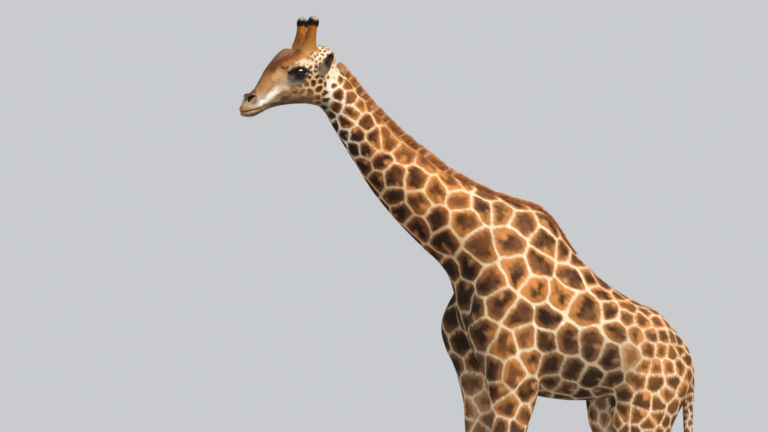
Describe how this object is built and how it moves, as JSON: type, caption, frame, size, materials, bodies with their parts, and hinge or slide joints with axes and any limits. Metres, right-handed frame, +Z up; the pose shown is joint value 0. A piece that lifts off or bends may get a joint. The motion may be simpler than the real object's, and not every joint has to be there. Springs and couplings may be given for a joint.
{
  "type": "giraffe",
  "caption": "Life-size still model of an adult bull giraffe, standing with its neck stretched forward, resting on its hooves.",
  "frame": {"origin": "on the floor, at the middle of the footprint of the whole animal", "axes": "+X from the head towards the tail, +Y towards the animal's right side, +Z up from the floor"},
  "size_m": [2.9704, 0.664, 4.2273],
  "materials": {
    "coat": "short flat hair with brown patches on a cream ground",
    "mane": "stiff upright hair",
    "tuft": "long coarse black hair",
    "horn": "satin",
    "eye": "wet gloss"
  },
  "bodies": {
    "root": {"head": "coat", "neck": "coat", "trunk": "coat", "ear_left": "coat", "ear_right": "coat", "ossicone_left": "coat", "ossicone_right": "coat", "tail": "coat", "foreleg_left": "coat", "foreleg_right": "coat", "hindleg_left": "coat", "hindleg_right": "coat", "mane": "mane", "tail_tuft": "tuft", "foreleg_left_outer_claw": "horn", "foreleg_left_inner_claw": "horn", "foreleg_right_outer_claw": "horn", "foreleg_right_inner_claw": "horn", "hindleg_left_outer_claw": "horn", "hindleg_left_inner_claw": "horn", "hindleg_right_outer_claw": "horn", "hindleg_right_inner_claw": "horn", "eye_left": "eye", "eye_right": "eye"}
  },
  "joints": []
}
